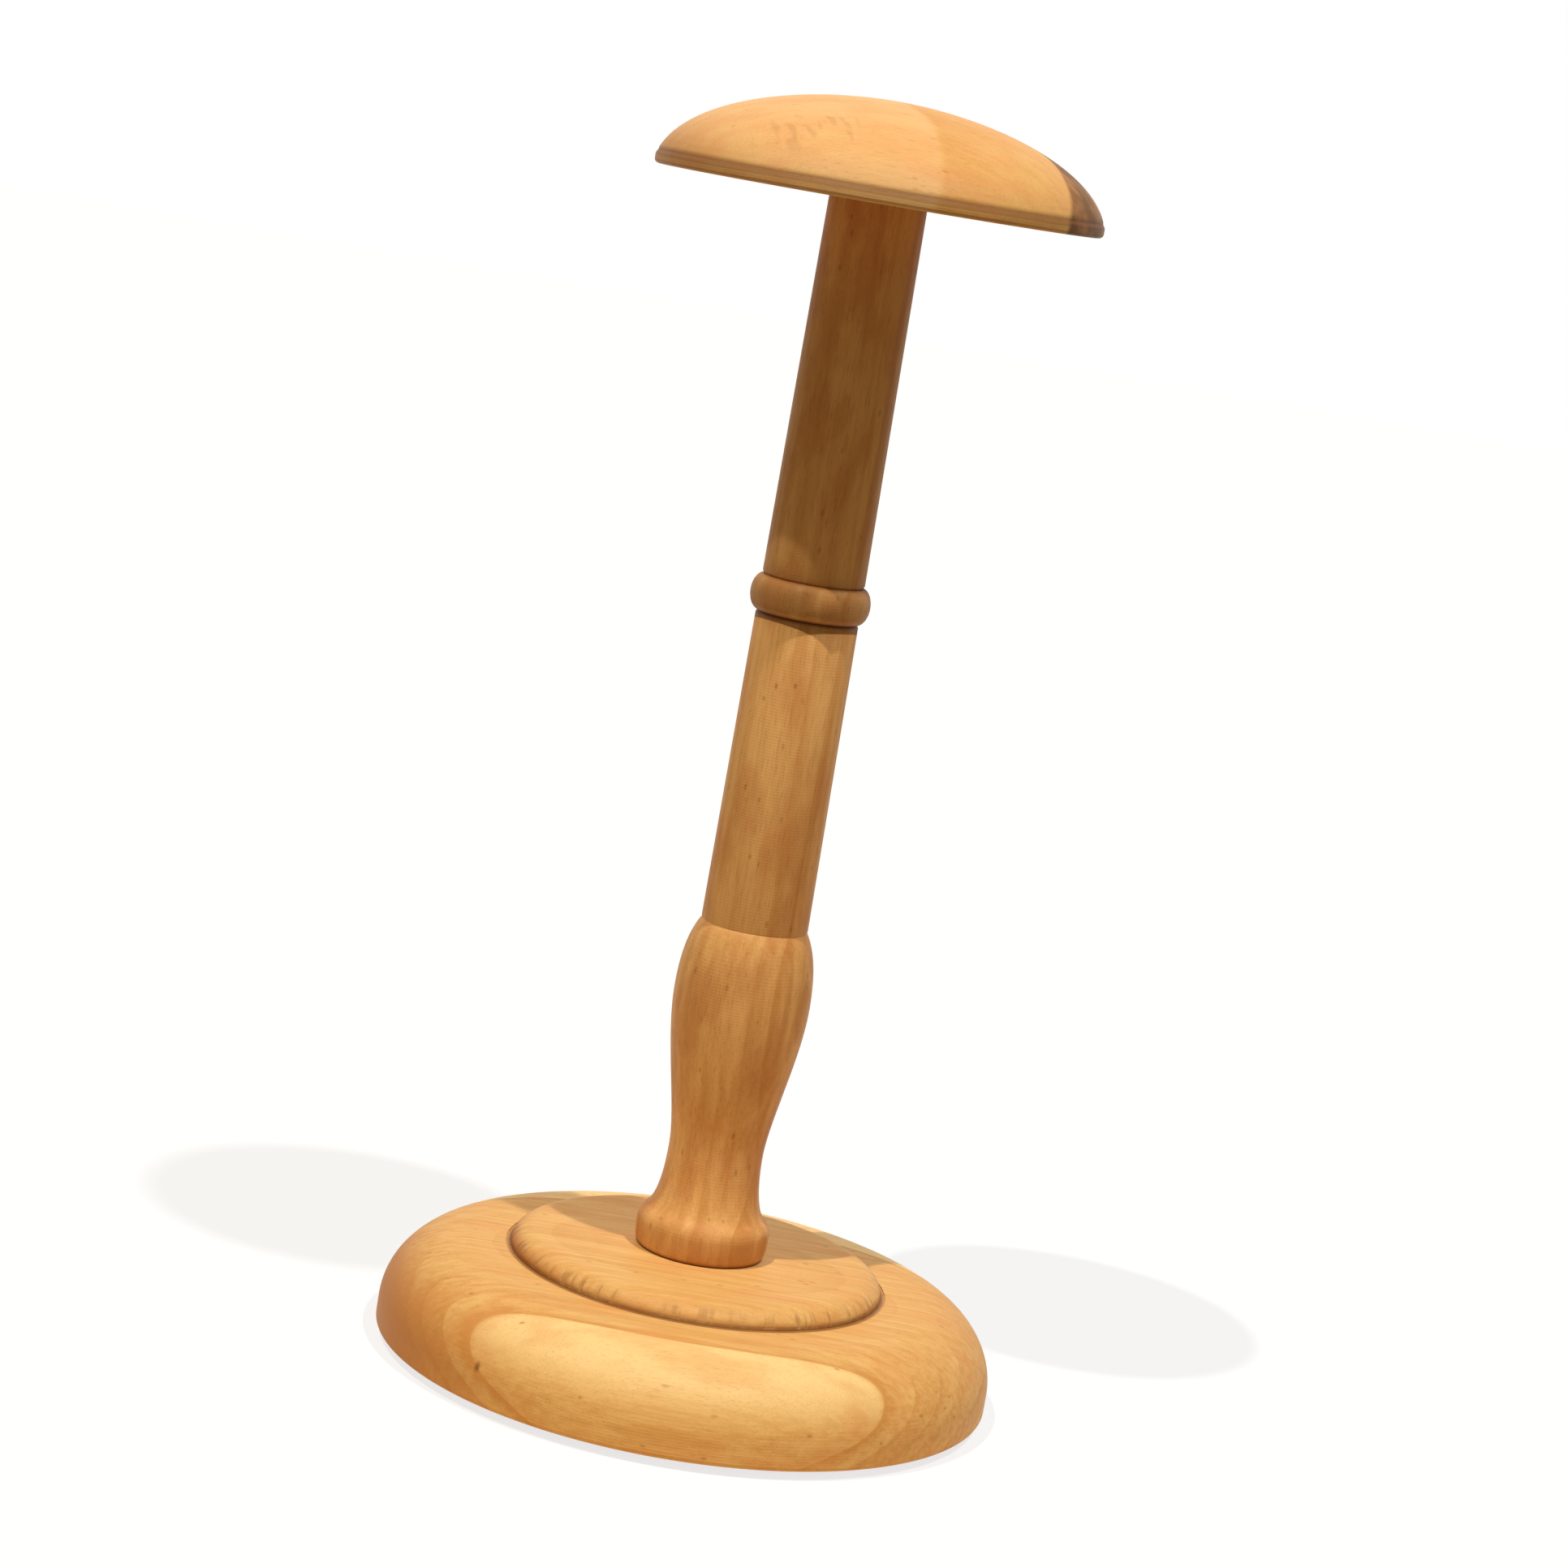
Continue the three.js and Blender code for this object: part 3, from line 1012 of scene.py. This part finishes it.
def torn_pad_edge(place):
    """Small nicks that the tool tore out of the pad's edge, above the crease."""
    x, y, z = separate(place)
    foot = pad_top - pad_height
    low = ramp(z, *metres(foot + up for up in nick_start))
    high = ramp(z, *metres(pad_top - down for down in nick_end), 1.0, 0.0)
    around = times(maths("ARCTAN2", y, x), pad_diameter / 2)
    across = combine(around, 0.0, times(z, nick_flattening))
    nick = ramp(noise(across, nick_scale, 1.0), *nick_span)
    where = ramp(noise(place, nick_patch_scale, 1.0), *nick_patch_span)
    return times(times(times(low, high), nick), where)


# Marks on the dome: the middle and size of their patch, and their slant and pattern

mark_centre = (-18, -42, 336)
mark_patch = (19, 11, 50)
mark_patch_span = (0.5, 1.1)
mark_turn = (0.0, 0.0, -0.35)
mark_stretch = (430.0, 110.0, 110.0)
mark_span = (0.52, 0.7)


def torn_dome_face(place):
    """A few soft marks across the grain on the front of the dome."""
    off = vector_maths("SUBTRACT", place, metres(mark_centre))
    spread = vector_maths("LENGTH", vector_maths("DIVIDE", off, metres(mark_patch)))
    near = ramp(spread, *mark_patch_span, 1.0, 0.0)
    slanted = add_node(tree_of(place), "ShaderNodeMapping", Vector=place, Rotation=mark_turn)
    marks = noise(vector_maths("MULTIPLY", slanted, mark_stretch), 1.0, 1.0)
    return times(near, ramp(marks, *mark_span))


# Each wood: its figure and colours, and its pin flecks as centre, reach and strength

base_figure = dict(
    Pith_Side=-6.7, Pith_Height=-26.1, Bow=0.0036, Wander=0.8, Seed=3.0,
    Ring_Width=2.9, Ring_Strength=0.6, Outer_Widening=4.0, Marked_Ring=80.3, Mark_Strength=0.5,
    Beyond_Low=10.0, Beyond_High=25.0, Beyond_Strength=0.95,
    Streak_Width=1.8, Streak_Strength=0.45, Blotch_Strength=0.35, Fleck_Share=0.02, Fleck_Strength=0.45,
    End_Ring_Boost=2.6, End_Grain_Strength=0.95, Right_End_Share=0.4,
    Pale=colour(234, 188, 118), Deep=colour(206, 146, 76), Blush=colour(218, 146, 82),
    Beyond_Colour=colour(244, 206, 140), Fleck_Colour=colour(150, 92, 40),
    End_Grain_Colour=colour(188, 122, 58),
)
base_pins = [
    ((-50.9, -66.1, 12.3), (1.3, 1.3, 2.0), 0.7),
    ((64.3, -52.2, 14.7), (1.2, 1.2, 0.7), 0.4),
    ((70.8, -42.9, 14.9), (1.0, 1.0, 0.6), 0.35),
    ((-2.5, -79.6, 20.2), (1.6, 0.8, 0.6), 0.3),
    ((10.9, -81.8, 15.3), (1.5, 0.8, 0.6), 0.3),
]
stem_figure = dict(
    Pith_Side=-28.0, Pith_Height=-67.0, Wander=1.2, Seed=8.0,
    Ring_Width=5.2, Ring_Strength=0.5, Marked_Ring=60.0, Mark_Strength=0.45, Beyond_Strength=0.1,
    Streak_Width=3.4, Streak_Strength=0.6, Blotch_Strength=0.5, Blotch_Shift=(14.0, 0.0, 0.0),
    Fleck_Share=0.03, Fleck_Strength=0.35, End_Grain_Strength=0.3,
    Pale=colour(240, 184, 114), Deep=colour(208, 144, 76), Blush=colour(200, 128, 68),
    Beyond_Colour=colour(240, 190, 124), Fleck_Colour=colour(126, 74, 32),
    End_Grain_Colour=colour(190, 118, 62),
)
stem_pins = [
    ((-4.9, -12.8, 191.6), (0.7, 0.7, 1.4), 0.55),
    ((0.0, -13.8, 192.6), (0.7, 0.7, 1.2), 0.5),
    ((-7.5, -11.5, 187.7), (0.8, 0.8, 1.2), 0.4),
    ((-0.5, -13.8, 176.2), (0.6, 0.6, 1.6), 0.4),
    ((-4.3, -13.2, 161.1), (0.6, 0.6, 1.2), 0.55),
    ((2.3, -13.8, 156.9), (0.6, 0.6, 1.4), 0.35),
    ((-4.1, -13.4, 145.7), (0.7, 0.7, 1.2), 0.5),
    ((-1.6, -14.0, 144.1), (0.6, 0.6, 1.2), 0.35),
]
dome_figure = dict(
    Pith_Side=436.0, Pith_Height=-81.0, Lean=-3.0, Wander=6.0, Seed=11.0,
    Ring_Width=76.0, Ring_Strength=0.3, Marked_Ring=611.5, Mark_Strength=0.3, Mark_Softness=0.025,
    Beyond_Strength=0.55, Heart_Start=1.0, Heart_Strength=1.0,
    Streak_Width=3.0, Streak_Length=45.0, Streak_Strength=0.3, Blotch_Strength=0.45,
    Fleck_Share=0.02, Fleck_Strength=0.3, End_Grain_Strength=0.6, Right_End_Share=0.15,
    Pale=colour(240, 190, 118), Deep=colour(216, 152, 80), Blush=colour(232, 160, 100),
    Beyond_Colour=colour(242, 190, 130), Heart_Colour=colour(114, 74, 18), Fleck_Colour=colour(158, 98, 44),
    End_Grain_Colour=colour(190, 128, 58),
)


def base_wood():
    crease = (pad_diameter / 2 + pad_crease_width / 4, base_bottom + base_thickness)
    # Painted shade in the crease round the foot of the pad
    shade_lines = [(crease, 1.4, 0.75)]
    torn = (torn_pad_edge, 0.34, 0.25)
    shown = colour(219, 169, 107)
    return wood_material("base_wood", shown, grain_across, base_figure, shade_lines, base_pins, torn)


def stem_wood():
    # Painted shade: a dark band where the foot meets the pad, a broad darkening up the foot, dark bands in
    # the quirks under and over the ring, and a broad darkening round the ring
    shade_lines = [
        (foot_bottom, 1.4, 0.65),
        (foot_bottom, 18.0, 0.12),
        (foot_bottom + ring_bottom, 1.3, 0.9),
        (foot_bottom + ring_top, 0.9, 0.5),
        (foot_bottom + ring_middle, 9.0, 0.42),
    ]
    return wood_material("stem_wood", colour(204, 153, 94), grain_upright, stem_figure, shade_lines, stem_pins)


def dome_wood():
    # Painted shade in the quirk above the rim band
    shade_lines = [(rim_quirk_height, 1.7, 0.75)]
    torn = (torn_dome_face, 0.16, 0.05)
    return wood_material("dome_wood", colour(222, 171, 110), grain_across, dome_figure, shade_lines, [], torn)


# Patterns in the zinc and in the felt

spangle_scale = 900.0
spangle_strength = 0.3
cloud_scale = 300.0
cloud_span = (0.3, 0.7)
zinc_roughness = (0.28, 0.48)
scratch_scale = 500.0
scratch_stretch = (1.0, 14.0, 1.0)
fibre_scale = 2600.0
fibre_span = (0.5, 0.72)
clump_scale = 420.0


def zinc_steel():
    """Dull zinc plate with a faint spangle and fine scratches."""
    material, tree, shader = new_material("zinc_steel", colour(184, 186, 189))
    place = object_place(tree)
    spangle = add_node(tree, "ShaderNodeTexVoronoi", Vector=place, Scale=spangle_scale).outputs["Color"]
    cloud = noise(place, cloud_scale, 4.0)
    tint = mix_colour(cloud, colour(176, 178, 184), colour(204, 200, 190))
    crystal, _, _ = separate(spangle)
    scratches = noise(vector_maths("MULTIPLY", place, scratch_stretch), scratch_scale, 3.0)
    feed_named(
        shader.inputs,
        Base_Color=mix_colour(times(crystal, spangle_strength), tint, colour(150, 154, 162)),
        Roughness=ramp(cloud, *cloud_span, *zinc_roughness),
        Normal=add_node(tree, "ShaderNodeBump", Strength=0.5, Distance=0.02 * MM, Height=scratches),
        Metallic=1.0,
    )
    return material


def grey_felt():
    """Pressed felt: matted fibres in mixed greys and browns."""
    material, tree, shader = new_material("felt", colour(102, 94, 84))
    place = object_place(tree)
    fibres = noise(place, fibre_scale, 5.0, Distortion=1.6)
    clumps = noise(place, clump_scale, 3.0)
    dark = mix_colour(clumps, colour(78, 71, 63), colour(116, 106, 94))
    height = maths("MULTIPLY_ADD", clumps, 2.0, fibres)
    feed_named(
        shader.inputs,
        Base_Color=mix_colour(ramp(fibres, *fibre_span), dark, colour(158, 148, 134)),
        Normal=add_node(tree, "ShaderNodeBump", Strength=0.9, Distance=0.12 * MM, Height=height),
        Roughness=0.95,
        Sheen_Weight=0.3,
    )
    return material


# The object


def make_stand():
    base = turn(base_outline(), base_bottom, wide_sides, base_finish)
    stem = turn(stem_outline(), foot_bottom, stem_sides, stem_finish)
    dome = turn(dome_outline(), dome_bottom, wide_sides, dome_finish)
    add_piece("turned_base", base, "base_wood", "base")
    add_piece("turned_stem", stem, "stem_wood", "stem")
    add_piece("turned_dome", dome, "dome_wood", "dome")


def make_screw_and_washer():
    blank = turn(screw_outline(), screw_seat, small_sides, steel_finish)
    screw = run_tree(blank, screw_tree(), Finish=steel_finish)
    washer = turn(washer_outline(), washer_bottom, small_sides, steel_finish)
    add_piece("wood_screw", screw, "zinc_steel", "base_screw")
    add_piece("flat_washer", washer, "zinc_steel", "screw_washer")


def make_felt_pads():
    pad = turn(felt_outline(), 0, small_sides, felt_finish)
    mesh = run_tree(pad, felt_tree(), Finish=felt_finish)
    nodes = [f"felt_pad_{i + 1}" for i in range(felt_count)]
    add_piece("felt_pads", mesh, "felt", *nodes)


# Floor and background, in metres and plain linear colours

floor_half = 6.0
floor_paint = (0.22, 0.22, 0.22, 1.0)
floor_glow = 0.77
thrown_near = (0.76, 0.6, 0.38, 1.0)
thrown_far = (0.13, 0.1, 0.06, 1.0)
thrown_span = (0.1, 0.4)
background = (1.0, 1.0, 1.0, 1.0)
sky_tint = (1.0, 0.86, 0.58, 1.0)
sky_level = 0.13

# Each lamp: name, turn to the right of the camera's side, tilt from upright, level, softness and tint

lamps = (
    ("left_key", -44, 26.6, 0.54, 0.9, (1.0, 0.94, 0.82)),
    ("right_key", 48, 24, 0.5, 1.8, (1.0, 0.99, 0.97)),
)


def background_ray(tree):
    """1 for rays from the camera and for rays in reflections and glass, 0 for the light that falls."""
    path = tree.nodes.new("ShaderNodeLightPath").outputs
    mirrored = maths("MAXIMUM", path["Is Glossy Ray"], path["Is Transmission Ray"])
    return maths("MAXIMUM", path["Is Camera Ray"], mirrored)


def make_floor():
    """A pale floor. The camera sees it white where it is lit, and its shadows as soft greys. It throws
    warm light back up near the stand, as a table top under the lamps does, and little further away."""
    mesh = bpy.data.meshes.new("floor")
    corners = [(x * floor_half, y * floor_half, 0) for x, y in ((-1, -1), (1, -1), (1, 1), (-1, 1))]
    mesh.from_pydata(corners, [], [(0, 1, 2, 3)])
    floor = add_object("floor", mesh)
    material = bpy.data.materials.new("floor")
    tree = empty_tree(material)
    seen = background_ray(tree)
    near = ramp(vector_maths("LENGTH", object_place(tree)), *thrown_span, 1.0, 0.0)
    paint = mix_colour(seen, mix_colour(near, thrown_far, thrown_near), floor_paint)
    both = tree.nodes.new("ShaderNodeAddShader")
    feed(both.inputs[0], add_node(tree, "ShaderNodeBsdfDiffuse", Color=paint))
    feed(both.inputs[1], add_node(tree, "ShaderNodeEmission", Strength=times(seen, floor_glow)))
    add_node(tree, "ShaderNodeOutputMaterial", Surface=both)
    mesh.materials.append(material)


def make_world():
    """A white background with a dim, even light of its own."""
    world = bpy.data.worlds.new("studio")
    bpy.context.scene.world = world
    tree = empty_tree(world)
    seen = background_ray(tree)
    tint = mix_colour(seen, sky_tint, background)
    strength = ramp(seen, 0.0, 1.0, sky_level, 1.0)
    sky = add_node(tree, "ShaderNodeBackground", Color=tint, Strength=strength)
    add_node(tree, "ShaderNodeOutputWorld", Surface=sky)


def add_lamp(name, turn_degrees, tilt_degrees, level, softness, tint):
    """A distant lamp. Its level is the light that it gives a level surface, where 1 shows a colour as it is
    written."""
    side = math.radians(turn_degrees)
    tilt = math.radians(tilt_degrees)
    data = bpy.data.lights.new(name, "SUN")
    data.energy = level * math.pi / math.cos(tilt)
    data.angle = math.radians(softness)
    data.color = tint
    lamp = add_object(name, data)
    out = math.sin(tilt)
    towards = Vector((out * math.sin(side), -out * math.cos(side), math.cos(tilt)))
    lamp.rotation_mode = "QUATERNION"
    lamp.rotation_quaternion = towards.to_track_quat("Z", "Y")
    lamp.location = towards


def make_camera():
    data = bpy.data.cameras.new("camera")
    data.sensor_width = sensor_width
    data.lens = camera_lens
    data.clip_start = nearest_seen
    data.clip_end = farthest_seen
    camera = add_object("camera", data)
    level_right = Vector((math.cos(camera_turn), math.sin(camera_turn), 0))
    level = math.cos(camera_pitch)
    ahead = Vector((-math.sin(camera_turn) * level, math.cos(camera_turn) * level, -math.sin(camera_pitch)))
    level_up = level_right.cross(ahead)
    right = math.cos(camera_roll) * level_right + math.sin(camera_roll) * level_up
    up = math.cos(camera_roll) * level_up - math.sin(camera_roll) * level_right
    turned = Matrix((right, up, -ahead)).transposed().to_4x4()
    camera.matrix_world = Matrix.Translation(metres((0, -camera_distance, camera_height))) @ turned
    bpy.context.scene.camera = camera


bpy.context.scene.view_settings.view_transform = "Standard"

turning = turning_tree()
growth_rings = growth_rings_group()
streaks = streaks_group()
flecks = flecks_group()
lathe_marks = lathe_marks_group()
groove = groove_group()
pin_fleck = pin_fleck_group()
beech = beech_group()

base_finish = base_wood()
stem_finish = stem_wood()
dome_finish = dome_wood()
steel_finish = zinc_steel()
felt_finish = grey_felt()

make_stand()
make_screw_and_washer()
make_felt_pads()
make_floor()
make_world()
for lamp in lamps:
    add_lamp(*lamp)
make_camera()
